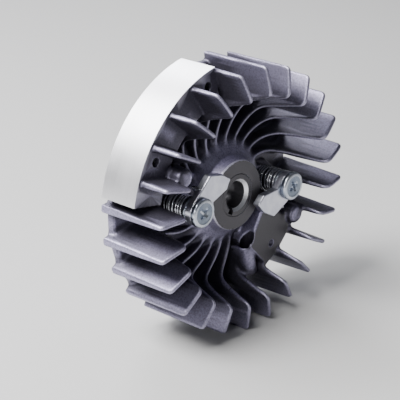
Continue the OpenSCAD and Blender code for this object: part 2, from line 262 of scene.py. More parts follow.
def shadedFacedMetal(name):
    # lathe-faced front of the hub: fine rings round the axis, dull, its dark colour a painted shade
    look = shadedFaceLook
    m, nodes, links, shader = newMaterial(name, look["colour"], 0.85, look["rough"])
    coords = nodes.new("ShaderNodeTexCoord").outputs["Object"]
    rings = nodes.new("ShaderNodeTexNoise")
    rings.noise_dimensions = "1D"
    rings.inputs["Scale"].default_value = 4200
    links.new(axisDistance(nodes, links, coords), rings.inputs["W"])
    cloud = addNoise(nodes, links, coords, 240, 5, rough=0.6)
    tone = addRamp(nodes, links, cloud, [(0.3, tuple(0.72 * c for c in look["colour"])), (0.7, look["colour"])])
    links.new(tone, shader.inputs["Base Color"])
    both = addMix(nodes, links, 0.6, rings.outputs["Fac"], cloud)
    roughness = addRange(nodes, links, both, look["rough"] - 0.1, look["rough"] + 0.14)
    links.new(roughness, shader.inputs["Roughness"])
    addBump(nodes, links, shader, [(rings.outputs["Fac"], look["ringDepth"], 0.6), (cloud, 0.00003, 0.3)])
    return m


turnedLook = {"colour": (0.93, 0.93, 0.96), "rough": 0.34, "lines": 5200, "lineDepth": 0.000008}


def turnedAluminium():
    look = turnedLook
    m, nodes, links, shader = newMaterial("turnedAluminium", look["colour"], 1.0, look["rough"])
    coords = nodes.new("ShaderNodeTexCoord").outputs["Object"]
    lines = addNoise(nodes, links, coords, look["lines"], 2, stretch=(0.004, 1, 0.004))
    smear = addNoise(nodes, links, coords, 120, 3)
    darker = tuple(0.93 * c for c in look["colour"])
    tone = addRamp(nodes, links, lines, [(0.25, darker), (0.75, look["colour"])])
    links.new(tone, shader.inputs["Base Color"])
    both = addMix(nodes, links, 0.5, lines, smear)
    roughness = addRange(nodes, links, both, look["rough"] - 0.07, look["rough"] + 0.12)
    links.new(roughness, shader.inputs["Roughness"])
    shader.inputs["Anisotropic"].default_value = 0.55
    tangent = nodes.new("ShaderNodeTangent")
    tangent.direction_type = "RADIAL"
    tangent.axis = "Y"
    links.new(tangent.outputs["Tangent"], shader.inputs["Tangent"])
    addBump(nodes, links, shader, [(lines, look["lineDepth"], 0.6), (smear, 0.00005, 0.15)])
    return m


def platedSteel(name, colour, tint, rough, scratch=900):
    # zinc plate: a faint bluish cloud, fine handling marks and a slightly soft gloss
    m, nodes, links, shader = newMaterial(name, colour, 1.0, rough)
    coords = nodes.new("ShaderNodeTexCoord").outputs["Object"]
    cloud = addNoise(nodes, links, coords, 260, 4)
    marks = addNoise(nodes, links, coords, scratch, 5, stretch=(1, 0.35, 1), rough=0.7)
    tone = addRamp(nodes, links, cloud, [(0.35, tint), (0.65, colour)])
    links.new(tone, shader.inputs["Base Color"])
    links.new(addRange(nodes, links, marks, rough - 0.08, rough + 0.16), shader.inputs["Roughness"])
    addBump(nodes, links, shader, [(cloud, 0.00004, 0.2), (marks, 0.00002, 0.35)])
    return m


def darkSteel(name, colour, rough, lines=3000):
    m, nodes, links, shader = newMaterial(name, colour, 0.95, rough)
    coords = nodes.new("ShaderNodeTexCoord").outputs["Object"]
    rings = addNoise(nodes, links, coords, lines, 2, stretch=(0.05, 1, 0.05))
    cloud = addNoise(nodes, links, coords, 300, 4)
    tone = addRamp(nodes, links, cloud, [(0.3, tuple(0.75 * c for c in colour)), (0.7, colour)])
    links.new(tone, shader.inputs["Base Color"])
    links.new(addRange(nodes, links, rings, rough - 0.06, rough + 0.12), shader.inputs["Roughness"])
    addBump(nodes, links, shader, [(rings, 0.00001, 0.5), (cloud, 0.00003, 0.2)])
    return m


print("materials")
materials = {
    "cast": castAluminium(),
    "turned": turnedAluminium(),
    "screw": platedSteel("screwPlate", (0.27, 0.305, 0.36), (0.19, 0.225, 0.29), 0.26),
    "washer": platedSteel("washerPlate", (0.66, 0.69, 0.74), (0.52, 0.58, 0.68), 0.26),
    "pawl": platedSteel("pawlPlate", (0.72, 0.73, 0.80), (0.60, 0.61, 0.70), 0.28, 600),
    "spring": darkSteel("springWire", (0.50, 0.51, 0.55), 0.24, 800),
    "bush": shadedFacedMetal("bushSteel"),
    "pole": darkSteel("poleSheets", (0.30, 0.30, 0.32), 0.45, 1500),
    "magnet": darkSteel("magnetBlock", (0.10, 0.10, 0.11), 0.6, 500),
}


# the cast wheel, as one skin round a distance field

casting = {
    "spacing": 0.42,
    "finCount": 24,
    "finStart": 85.15,
    "finLean": 2.6,
    "finSweep": 20.2,
    "finHalfWidth": 0.72,
    "finDraft": 0.03,
    "finCorner": 2.0,
    "throatRise": 1.7,
    "ribHeight": -16.7,
    "edgeRound": 0.9,
    "rootFillet": 1.4,
    "smallFillet": 1.0,
    "webRadius": 46.8,
    "webThickness": 3.4,
    "webInner": -20.2,
    "hubRadius": 13.3,
    "hubFoot": 14.4,
    "coneRadius": 19.6,
    "hubBack": 0.98,
    "hubBackRadius": 14.2,
    "spigotRadius": 8.2,
    "spigotLength": 3.0,
    "sectorDepth": 13.3,
    "padHeight": -9.5,
    "padWall": (16.8, -31),
    "padEndWall": (10.1, -138),
    "padStop": -29,
    "padOuter": 37.0,
    "dimplePlace": (31.3, -52.3),
    "dimpleRadius": 1.3,
    "bossRadius": 3.3,
    "bossPlace": (8.2, -22.9, -13.15),
    "bossTurn": -80,
    "bossLength": 12,
    "balanceRadius": 2.3,
    "balanceDepth": 8.0,
    "balanceSlant": 20,
    "mouthCleared": 4,
    "seatRadius": 6.6,
    "seatHeight": -20.4,
    "postRadius": 3.6,
    "postFront": -9.5,
    "lugRadius": 3.6,
    "lugHeight": -6.6,
    "lugReach": 15.1,
    "lugTurn": -62,
    "threadRadius": 2.5,
    "threadLength": 8.5,
    "pinRadius": 1.6,
    "pinInset": 5.3,
    "magnetMiddle": 128.6,
    "magnetHalf": 15.5,
    "poleSpan": 12.0,
    "poleSkin": 0.6,
    "poleHeight": 9.4,
    "magnetWall": 1.8,
    "collarRadius": 11.6,
    "collarHalf": 3.2,
    "facesKept": 190000,
}


def smoothMin(a, b, k):
    h = np.maximum(k - np.abs(a - b), 0) / k
    return np.minimum(a, b) - h * h * k / 4


def smoothMax(a, b, k):
    return -smoothMin(-a, -b, k)


def sectionDistance(points, r, h):
    # signed distance to a closed outline in the (radius, height) plane, negative inside
    best = np.full(r.shape, 1e9)
    inside = np.zeros(r.shape, bool)
    for (r0, h0), (r1, h1) in zip(points, points[1:] + points[:1]):
        along = np.array([r1 - r0, h1 - h0])
        t = np.clip(((r - r0) * along[0] + (h - h0) * along[1]) / (along @ along), 0, 1)
        best = np.minimum(best, np.hypot(r - r0 - t * along[0], h - h0 - t * along[1]))
        if h0 != h1:
            crosses = (h0 > h) != (h1 > h)
            inside ^= crosses & (r < r0 + (h - h0) * (r1 - r0) / (h1 - h0))
    return np.where(inside, -best, best)


def wrapped(angle):
    return (angle + 180) % 360 - 180


def finTurn(r):
    c = casting
    s = np.clip((wheel["throatRadius"] - r) / (wheel["throatRadius"] - 18), 0, 1.1)
    eased = 0.4 * s + 0.6 * s * s * (3 - 2 * np.minimum(s, 1))
    outer = -c["finLean"] * (wheel["fanRadius"] - r) / (wheel["fanRadius"] - wheel["throatRadius"])
    return np.where(r > wheel["throatRadius"], outer, -c["finLean"] + c["finSweep"] * eased)


def cutCorners(points, times):
    for _ in range(times):
        inner = []
        for (r0, h0), (r1, h1) in zip(points[:-1], points[1:]):
            inner += [(0.75 * r0 + 0.25 * r1, 0.75 * h0 + 0.25 * h1),
                      (0.25 * r0 + 0.75 * r1, 0.25 * h0 + 0.75 * h1)]
        points = [points[0]] + inner + [points[-1]]
    return points


def finOutline():
    c = casting
    tip, throat, rib = wheel["fanRadius"], wheel["throatRadius"], c["ribHeight"]
    corner = [(tip - c["finCorner"] + c["finCorner"] * math.cos(a),
               -c["finCorner"] + c["finCorner"] * math.sin(a))
              for a in np.radians(np.linspace(0, 85, 6))]
    edge = cutCorners([
        (throat + 5, c["throatRise"] * 0.56), (throat + 0.1, c["throatRise"] + 0.1), (throat - 1.6, -5.2),
        (throat - 3.6, rib + 4.7), (throat - 5.4, rib + 0.9), (throat - 9.5, rib), (16, rib)], 3)
    under = c["webInner"] - c["webThickness"] / 2
    return [(16, under), (22, under), (43, -wheel["finLength"] + 1), (tip, -wheel["finLength"])] + corner + edge


def webOutline():
    c = casting
    back, rim = -wheel["finLength"], -wheel["finLength"] + c["webThickness"] - 0.2
    return [
        (0, wheel["hubFront"]), (c["hubRadius"] - 0.6, wheel["hubFront"]),
        (c["hubRadius"], wheel["hubFront"] - 0.6),
        (c["hubFoot"], wheel["hubFront"] - 3.9),
        (c["coneRadius"], c["webInner"] + 2.6), (c["coneRadius"] + 2.4, c["webInner"]),
        (c["webRadius"] - 0.8, rim), (c["webRadius"], rim - 0.8), (c["webRadius"], back),
        (c["webRadius"] - c["webThickness"], back), (21.5, c["webInner"] - c["webThickness"]),
        (16.5, c["webInner"] - c["webThickness"] - 0.6), (c["hubBackRadius"], back - c["hubBack"] + 1.5),
        (c["hubBackRadius"] - 1, back - c["hubBack"]), (0, back - c["hubBack"])]


def buildField():
    c = casting
    step = c["spacing"]
    span = np.arange(-52.4, 52.4, step)
    heights = np.arange(-31.6, 3.0, step)
    x, y = np.meshgrid(span, span, indexing="ij")
    radius = np.hypot(x, y)
    angle = np.degrees(np.arctan2(y, x))
    turn = finTurn(radius)
    slope = np.radians((finTurn(radius + 0.1) - finTurn(radius - 0.1)) / 0.2) * radius
    pitch = 360 / c["finCount"]
    off = (angle - c["finStart"] - turn + pitch / 2) % pitch - pitch / 2
    aside = np.abs(radius * np.radians(off)) / np.sqrt(1 + slope * slope)
    table = np.arange(0, 76, 0.25)
    tableR, tableH = np.meshgrid(table, heights, indexing="ij")
    finSection = sectionDistance(finOutline(), tableR, tableH)
    webSection = sectionDistance(webOutline(), tableR, tableH)
    throat = wheel["throatRadius"]
    finTop = np.interp(radius, [0, throat - 7.5, throat - 4.7, throat],
                       [c["ribHeight"], c["ribHeight"], c["ribHeight"] + 2.4, c["throatRise"]])

    def block(rIn, rOut, a0, a1):
        # plan of a block curved round the axis
        sideways = np.radians(np.abs(wrapped(angle - (a0 + a1) / 2)) - (a1 - a0) / 2) * radius
        return np.maximum(np.abs(radius - (rIn + rOut) / 2) - (rOut - rIn) / 2, sideways)

    def pillar(place, r):
        px, py = polar(*place)
        return np.hypot(x - px, y - py) - r

    def along(direction, offset=(0, 0)):
        # how far each place is from the offset, in this direction
        turn = math.radians(direction)
        return (x - offset[0]) * math.cos(turn) + (y - offset[1]) * math.sin(turn)

    inner = wheel["bandRadius"] - c["sectorDepth"]
    poleOut = wheel["bandRadius"] - c["poleSkin"]
    sector = block(inner, wheel["bandRadius"], wheel["bandStart"], wheel["bandEnd"])
    sectorBack = block(inner, c["webRadius"], wheel["bandStart"], wheel["bandEnd"])
    pad = smoothMax(c["padWall"][0] - along(c["padWall"][1]),
                    along(c["padEndWall"][1]) - c["padEndWall"][0], 1.2)
    pad = np.maximum(np.maximum(pad, radius - c["padOuter"]), along(c["padStop"] + 90))
    bossX, bossY, bossH = c["bossPlace"]
    bossAlong = along(c["bossTurn"], (bossX, bossY))
    bossAside = along(c["bossTurn"] + 90, (bossX, bossY))
    magnetReach = c["magnetHalf"] + c["poleSpan"]
    magnetRoom = block(poleOut - c["poleHeight"], poleOut,
                       c["magnetMiddle"] - magnetReach, c["magnetMiddle"] + magnetReach)
    pivots = [(wheel["pivotRadius"], wheel["pivotAngle"] + s) for s in (0, 180)]
    lugs = np.full(radius.shape, 1e9)
    for distance, direction in pivots:
        px, py = polar(distance, direction)
        lx, ly = polar(c["lugReach"], direction + c["lugTurn"])
        lugs = np.minimum(lugs, np.hypot(x - px - lx, y - py - ly) - c["lugRadius"])
    seats = np.minimum(*[pillar(p, c["seatRadius"]) for p in pivots])
    posts = np.minimum(*[pillar(p, c["postRadius"]) for p in pivots])
    threads = np.minimum(*[pillar(p, c["threadRadius"]) for p in pivots])
    poleOff = c["magnetHalf"] + c["poleSpan"] / 2
    pins = np.minimum(*[pillar((wheel["bandRadius"] - c["pinInset"], c["magnetMiddle"] + s), c["pinRadius"])
                        for s in (-poleOff, poleOff)])
    webMiddle = np.interp(radius, [21.5, 43.4], [c["webInner"] - 1.7, 0.4 - wheel["finLength"]])
    slant = np.radians(c["balanceSlant"])
    dimple = pillar(c["dimplePlace"], 0)
    bore = radius - wheel["bushRadius"]
    spigot = radius - c["spigotRadius"]
    collar = radius - c["collarRadius"]
    bushMiddle = (wheel["hubFront"] - wheel["finLength"] - c["hubBack"]) / 2

    field = np.empty((len(span), len(span), len(heights)), np.float32)
    for k, h in enumerate(heights):
        halfWidth = c["finHalfWidth"] + c["finDraft"] * (finTop - h)
        fins = smoothMax(aside - halfWidth, np.interp(radius, table, finSection[:, k]), c["edgeRound"])
        d = smoothMin(np.interp(radius, table, webSection[:, k]), fins, c["rootFillet"])
        frontBlock = np.maximum(sector, abs(h - (wheel["bandFront"] + wheel["bandBack"]) / 2)
                                - (wheel["bandFront"] - wheel["bandBack"]) / 2)
        rearBlock = np.maximum(sectorBack, abs(h + (wheel["finLength"] - wheel["bandFront"]) / 2)
                               - (wheel["finLength"] + wheel["bandFront"]) / 2)
        d = smoothMin(d, np.minimum(frontBlock, rearBlock), c["smallFillet"])
        above = webMiddle - h
        boss = (np.hypot(bossAside, h - bossH) if h > bossH else np.abs(bossAside)) - c["bossRadius"]
        boss = smoothMax(smoothMax(boss, above, 0.3), np.maximum(-bossAlong, bossAlong - c["bossLength"]), 0.6)
        plate = smoothMax(pad, np.maximum(h - c["padHeight"], above), 1.0)
        plate = smoothMax(plate, -(np.hypot(dimple, (h - c["padHeight"]) * 1.3) - c["dimpleRadius"]), 0.4)
        d = smoothMin(d, smoothMin(plate, boss, 0.5), 1.4)
        d = smoothMax(d, -smoothMax(seats, c["seatHeight"] - h, 0.8), 0.6)
        d = smoothMin(d, smoothMax(seats, np.maximum(h - c["seatHeight"], above), 0.6), 0.8)
        d = smoothMin(d, smoothMax(posts, np.maximum(h - c["postFront"], above), 0.3), 0.9)
        d = smoothMin(d, smoothMax(lugs, np.maximum(h - c["lugHeight"], above), 1.5), 1.6)
        down, out = h - bossH - 1.1, bossAlong + 2
        reach = out * np.cos(slant) - down * np.sin(slant)
        away = np.sqrt(np.maximum(bossAside ** 2 + out ** 2 + down ** 2 - reach ** 2, 0)) - c["balanceRadius"]
        ends = np.maximum(reach - c["balanceDepth"] - 2, -c["mouthCleared"] - reach)
        d = smoothMax(d, -np.maximum(away, ends), 0.4)
        d = np.maximum(d, -(bore if h < wheel["hubFront"] - c["spigotLength"] else spigot))
        d = np.maximum(d, -np.maximum(collar, abs(h - bushMiddle) - c["collarHalf"]))
        d = smoothMax(d, -np.maximum(pins, wheel["bandBack"] + c["magnetWall"] - h), 0.4)
        d = np.maximum(d, -np.maximum(threads, c["postFront"] - c["threadLength"] - h))
        d = np.maximum(d, -np.maximum(magnetRoom, abs(h - (wheel["bandFront"] + wheel["bandBack"]) / 2)
                                      - (wheel["bandFront"] - wheel["bandBack"]) / 2 + c["magnetWall"]))
        field[:, :, k] = d
    return field, (span[0], span[0], heights[0]), step


def skinField(field, corner, step):
    # one vertex in each cell that the surface crosses, one quad across each grid edge it crosses
    shape = np.array(field.shape)
    cells = shape - 1
    total = int(np.prod(cells))
    strides = np.array([cells[1] * cells[2], cells[2], 1])
    sums, counts, quads = np.zeros((3, total)), np.zeros(total), []
    for axis in range(3):
        b, c = (axis + 1) % 3, (axis + 2) % 3
        low = [slice(1, -1)] * 3
        high = [slice(1, -1)] * 3
        low[axis], high[axis] = slice(0, -1), slice(1, None)
        f0, f1 = field[tuple(low)], field[tuple(high)]
        at = np.argwhere((f0 < 0) != (f1 < 0))
        v0, v1 = f0[tuple(at.T)], f1[tuple(at.T)]
        start = at + 1
        start[:, axis] -= 1
        place = start.astype(float)
        place[:, axis] += v0 / (v0 - v1)
        ring = []
        for db, dc in ((1, 1), (0, 1), (0, 0), (1, 0)):
            cell = start.copy()
            cell[:, b] -= db
            cell[:, c] -= dc
            flat = cell @ strides
            ring.append(flat)
            counts += np.bincount(flat, minlength=total)
            for i in range(3):
                sums[i] += np.bincount(flat, weights=place[:, i], minlength=total)
        ring = np.column_stack(ring)
        ring[v0 > 0] = ring[v0 > 0][:, ::-1]
        quads.append(ring)
    used = np.flatnonzero(counts)
    index = np.zeros(total, np.int64)
    index[used] = np.arange(len(used))
    points = (sums[:, used] / counts[used]).T * step + np.array(corner)
    return points, index[np.concatenate(quads)]


def meshFromQuads(name, points, quads):
    mesh = bpy.data.meshes.new(name)
    mesh.vertices.add(len(points))
    mesh.vertices.foreach_set("co", np.asarray(points, np.float32).ravel())
    mesh.loops.add(quads.size)
    mesh.loops.foreach_set("vertex_index", quads.astype(np.int32).ravel())
    mesh.polygons.add(len(quads))
    mesh.polygons.foreach_set("loop_start", np.arange(0, quads.size, 4, dtype=np.int32))
    mesh.update(calc_edges=True)
    mesh.validate()
    return mesh


def addPiece(name, mesh, body="wheel", replaces=(), mats=()):
    obj = bpy.data.objects.new(name, mesh)
    bpy.context.scene.collection.objects.link(obj)
    for m in mats:
        obj.data.materials.append(m)
    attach(obj, body)
    if replaces:
        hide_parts(*replaces)
    return obj


def applyModifiers(obj):
    mesh = bpy.data.meshes.new_from_object(obj.evaluated_get(bpy.context.evaluated_depsgraph_get()))
    obj.modifiers.clear()
    old = obj.data
    obj.data = mesh
    bpy.data.meshes.remove(old)
    mesh.name = obj.name


def shadeByAngle(obj, degrees, evenFaces=False):
    mesh = obj.data
    mesh.polygons.foreach_set("use_smooth", [True] * len(mesh.polygons))
    mesh.set_sharp_from_angle(angle=math.radians(degrees))
    if evenFaces:  # large flat faces stay flat beside their rounded edges
        even = obj.modifiers.new("evenFaces", "WEIGHTED_NORMAL")
        even.keep_sharp = True


def meshVectors(mesh, what="co"):
    values = np.zeros(len(mesh.vertices) * 3)
    mesh.vertices.foreach_get(what, values)
    return values.reshape(-1, 3)


def markTurned(mesh):
    # the band over the magnet is turned
    n = len(mesh.polygons)
    centre = np.zeros(n * 3)
    mesh.polygons.foreach_get("center", centre)
    radius = np.hypot(centre[0::3], centre[2::3]) * 1000
    mesh.polygons.foreach_set("material_index", (radius > wheel["bandRadius"] - 0.12).astype(np.int32))


def markWear(mesh):
    # how much each point stands out of its neighbourhood: above 0 on edges, below 0 in corners
    n = len(mesh.vertices)
    co, normal = meshVectors(mesh), meshVectors(mesh, "normal")
    edges = np.zeros(len(mesh.edges) * 2, np.int32)
    mesh.edges.foreach_get("vertices", edges)
    edges = edges.reshape(-1, 2)
    rise = np.zeros(n)
    count = np.bincount(edges.ravel(), minlength=n)
    for a, b in ((0, 1), (1, 0)):
        step = co[edges[:, a]] - co[edges[:, b]]
        length = np.linalg.norm(step, axis=1)
        bend = (step * normal[edges[:, a]]).sum(1) / np.maximum(length, 1e-9)
        rise += np.bincount(edges[:, a], weights=bend, minlength=n)
    rise /= np.maximum(count, 1)
    for _ in range(2):
        spread = np.bincount(edges[:, 0], weights=rise[edges[:, 1]], minlength=n)
        spread += np.bincount(edges[:, 1], weights=rise[edges[:, 0]], minlength=n)
        rise = 0.5 * rise + 0.5 * spread / np.maximum(count, 1)
    mesh.attributes.new("wear", "FLOAT", "POINT").data.foreach_set("value", rise.astype(np.float32))


def markPaintedShade(mesh, field, corner, step):
    # how closed in each point is, painted as shade: the field a little way off the surface is small where walls
    # are near
    normal = meshVectors(mesh, "normal")
    co = meshVectors(mesh) * 1000
    local = np.column_stack([co[:, 0], co[:, 2], wheel["originHeight"] - co[:, 1]])
    facing = np.column_stack([normal[:, 0], normal[:, 2], -normal[:, 1]])
    paintedShade = np.zeros(len(co))
    for reach in (1.5, 3, 5, 8):
        cell = np.rint((local + facing * reach - np.array(corner)) / step).astype(int)
        inside = np.all((cell >= 0) & (cell < np.array(field.shape)), axis=1)
        cell = np.clip(cell, 0, np.array(field.shape) - 1)
        found = np.where(inside, field[cell[:, 0], cell[:, 1], cell[:, 2]], reach)
        paintedShade += np.clip(1 - found / reach, 0, 1) / 4
    # less painted shade on the hub's flank
    onHub = (np.hypot(local[:, 0], local[:, 1]) < casting["hubFoot"]) & (local[:, 2] > wheel["hubFront"] - 4)
    paintedShade[onHub] *= 0.15
    # and less on the counterweight's inner wall
    reach, direction = casting["padWall"]
    wallTurn = math.radians(direction)
    wall = local[:, 0] * math.cos(wallTurn) + local[:, 1] * math.sin(wallTurn) - reach
    paintedShade[(np.abs(wall) < 0.4) & (local[:, 2] > -18) & (local[:, 1] < 0)] *= 0.2
    mesh.attributes.new("paintedShade", "FLOAT", "POINT").data.foreach_set("value", paintedShade.astype(np.float32))


def snapTurned(points):
    # turned faces are true: pull the skin's nearby points on to the band, its edges and the hub's face
    c = casting
    radius = np.hypot(points[:, 0], points[:, 1])
    angle = np.degrees(np.arctan2(points[:, 1], points[:, 0]))
    height = points[:, 2]
    inBand = (angle > wheel["bandStart"] - 1) & (angle < wheel["bandEnd"] + 1)
    inBand &= (height < wheel["bandFront"] + 0.3) & (height > wheel["bandBack"] - 0.3)
    near = 0.32
    onBand = inBand & (np.abs(radius - wheel["bandRadius"]) < near)
    grown = np.where(onBand, wheel["bandRadius"] / np.maximum(radius, 1), 1.0)
    points[:, :2] *= grown[:, None]
    outside = radius > c["webRadius"] + 1
    for level, mask in ((wheel["bandFront"], inBand & (radius > 38)), (wheel["bandBack"], inBand & outside),
                        (wheel["hubFront"], radius < c["hubRadius"] + 0.2)):
        points[mask & (np.abs(height - level) < near), 2] = level
    return points


def buildCasting():
    c = casting
    field, corner, step = buildField()
    points, quads = skinField(field, corner, step)
    points = snapTurned(points)
    mesh = meshFromQuads("wheelCasting", toWorld(points), quads)
    obj = addPiece("wheelCasting", mesh, replaces=("flywheel_casting",),
                   mats=(materials["cast"], materials["turned"]))
    faces = 2 * len(quads)
    thin = obj.modifiers.new("thin", "DECIMATE")
    thin.ratio = min(1, c["facesKept"] / faces)
    applyModifiers(obj)
    print("casting skin", faces, "->", len(obj.data.polygons), "faces")
    markTurned(obj.data)
    markWear(obj.data)
    markPaintedShade(obj.data, field, corner, step)
    shadeByAngle(obj, 38)
    return obj


print("casting")
buildCasting()


# small pieces

pawls = {
    "eyeRadius": 5.1,
    "eyeBore": 3.25,
    "front": -5.6,
    "thickness": 3.0,
    "edge": 0.4,
    "length": 17.8,
    "shoulder": 13.5,
    "rest": {"left": 27.0, "right": 9.5},
}
screws = {"front": -3.5, "headRadius": 5.4, "headHeight": 2.0, "shoulderRadius": 3.2, "threadRadius": 2.4,
          "threadLength": 7.9, "slotHalf": 2.7, "slotWidth": 1.15, "slotDepth": 1.3, "dish": 0.25}
washers = {"radius": 5.0, "front": -8.7, "thickness": 0.8, "edge": 0.18}
springs = {"wire": 0.45, "coil": 4.5, "turns": 7, "foot": -19.85, "top": -10.05, "footLeg": 3.9, "hookX": 4.3,
           "hookY": 7.2, "hookTop": -6.2, "sides": 10, "stepsPerTurn": 40}
bush = {"radius": 10.3, "back": -30.69, "chamfer": 1.1, "bore": 5.1, "taper": 6.9, "boreFoot": -16.1,
        "keyWidth": 2.5, "keyReach": 7.4, "keyTurn": -121.6}


def pivotOf(side):
    return polar(wheel["pivotRadius"], wheel["pivotAngle"] + (180 if side == "right" else 0))


def arcPoints(centre, radius, start, end, n):
    return [(centre[0] + polar(radius, t)[0], centre[1] + polar(radius, t)[1])
            for t in np.linspace(start, end, n)]


def placed(local, side, turn=0.0):
    # from a pivot's own axes (mm, turned about it) to the wheel's
    p = np.asarray(local, float)
    t = math.radians(turn)
    px, py = pivotOf(side)
    return np.column_stack([px + p[:, 0] * math.cos(t) - p[:, 1] * math.sin(t),
                            py + p[:, 0] * math.sin(t) + p[:, 1] * math.cos(t), p[:, 2]])


def plateMesh(name, outlines, low, high, edge):
    # a stamped plate with rounded edges, from closed outlines; holes are the later outlines
    curve = bpy.data.curves.new(name, "CURVE")
    curve.dimensions = "2D"
    curve.fill_mode = "BOTH"
    for outline in outlines:
        spline = curve.splines.new("POLY")
        spline.points.add(len(outline) - 1)
        spline.use_cyclic_u = True
        for point, (px, py) in zip(spline.points, outline):
            point.co = (px, py, 0, 1)
    curve.extrude = (high - low) / 2 - edge
    curve.bevel_depth = edge
    curve.bevel_resolution = 3
    curve.offset = -edge
    obj = bpy.data.objects.new(name, curve)
    mesh = bpy.data.meshes.new_from_object(obj)
    bpy.data.objects.remove(obj)
    bpy.data.curves.remove(curve)
    co = meshPoints(mesh)
    co[:, 2] += (low + high) / 2
    return mesh, co


def finishMesh(mesh, points):
    # points are in the wheel's axes; writes them in metres and closes the seams
    mesh.vertices.foreach_set("co", toWorld(points).astype(np.float32).ravel())
    work = bmesh.new()
    work.from_mesh(mesh)
    bmesh.ops.remove_doubles(work, verts=work.verts, dist=1e-6)
    bmesh.ops.recalc_face_normals(work, faces=work.faces)
    work.to_mesh(mesh)
    work.free()
    mesh.update()


def buildPawl(side):
    c = pawls
    shoulderAt = polar(c["shoulder"] - 1.2, 36)
    outline = arcPoints((0, 0), c["eyeRadius"], 118, 298, 40)
    outline += [(c["eyeRadius"] + 1.8, -1.6), polar(c["length"] - 3, -9)]
    outline += arcPoints((c["length"] - 0.8, 0.2), 0.8, -100, 40, 8) + [polar(c["length"] - 1.8, 16)]
    outline += arcPoints(shoulderAt, 1.2, 50, 95, 7)
    hole = arcPoints((0, 0), c["eyeBore"], 0, 360, 49)[:-1]
    mesh, co = plateMesh(side + "Pawl", [outline, hole], c["front"] - c["thickness"], c["front"], c["edge"])
    finishMesh(mesh, placed(co, side, c["rest"][side] + (180 if side == "right" else 0)))
    obj = addPiece(side + "Pawl", mesh, side + "_pawl", ("pawl_" + side,), (materials["pawl"],))
    shadeByAngle(obj, 35, True)
    return obj


def lathe(profile, steps):
    # profile: (radius, height) from the axis round to the axis again
    points, faces = [], []
    for r, h in profile:
        if r == 0:
            points.append([(0, 0, h)])
        else:
            points.append([(*polar(r, 360 * i / steps), h) for i in range(steps)])
    starts = np.cumsum([0] + [len(ring) for ring in points])
    for k in range(len(points) - 1):
        a, b = starts[k], starts[k + 1]
        for i in range(steps):
            j = (i + 1) % steps
            if len(points[k]) == 1:
                faces.append((a, b + j, b + i))
            elif len(points[k + 1]) == 1:
                faces.append((a + i, a + j, b))
            else:
                faces.append((a + i, a + j, b + j, b + i))
    return [p for ring in points for p in ring], faces


def roundedStep(r, h, radius, start, end, n=5):
    return [(r + radius * math.cos(t), h + radius * math.sin(t))
            for t in np.radians(np.linspace(start, end, n))]


def meshPoints(mesh):
    co = np.zeros(len(mesh.vertices) * 3)
    mesh.vertices.foreach_get("co", co)
    return co.reshape(-1, 3)


def cutBars(name, points, faces, bars, softness):
    # cuts tapered bars out of a turned shape and rounds its edges; a bar is (direction, [(half length,
    # half width, height) at the top and bottom], shift along it)
    mesh = bpy.data.meshes.new(name)
    mesh.from_pydata(points, [], faces)
    work = bmesh.new()
    work.from_mesh(mesh)
    bmesh.ops.remove_doubles(work, verts=work.verts, dist=1e-4)
    bmesh.ops.recalc_face_normals(work, faces=work.faces)
    work.to_mesh(mesh)
    work.free()
    cutter = bpy.data.meshes.new("bars")
    work = bmesh.new()
    for direction, ends, *shift in bars:
        for v in bmesh.ops.create_cube(work, size=1)["verts"]:
            half, width, h = ends[0] if v.co.z > 0 else ends[1]
            v.co = Vector((v.co.x * 2 * half + (shift[0] if shift else 0), v.co.y * 2 * width, h))
            v.co.rotate(Matrix.Rotation(math.radians(direction), 3, "Z"))
    bmesh.ops.recalc_face_normals(work, faces=work.faces)
    work.to_mesh(cutter)
    work.free()
    body = bpy.data.objects.new(name, mesh)
    tool = bpy.data.objects.new("bars", cutter)
    for obj in (body, tool):
        bpy.context.scene.collection.objects.link(obj)
    cut = body.modifiers.new("recess", "BOOLEAN")
    cut.operation = "DIFFERENCE"
    cut.solver = "EXACT"
    cut.use_self = True
    cut.object = tool
    soft = body.modifiers.new("soft", "BEVEL")
    soft.width = softness
    soft.segments = 2
    soft.limit_method = "ANGLE"
    soft.angle_limit = math.radians(50)
    applyModifiers(body)
    mesh = body.data
    bpy.data.objects.remove(body)
    bpy.data.objects.remove(tool)
    bpy.data.meshes.remove(cutter)
    return mesh


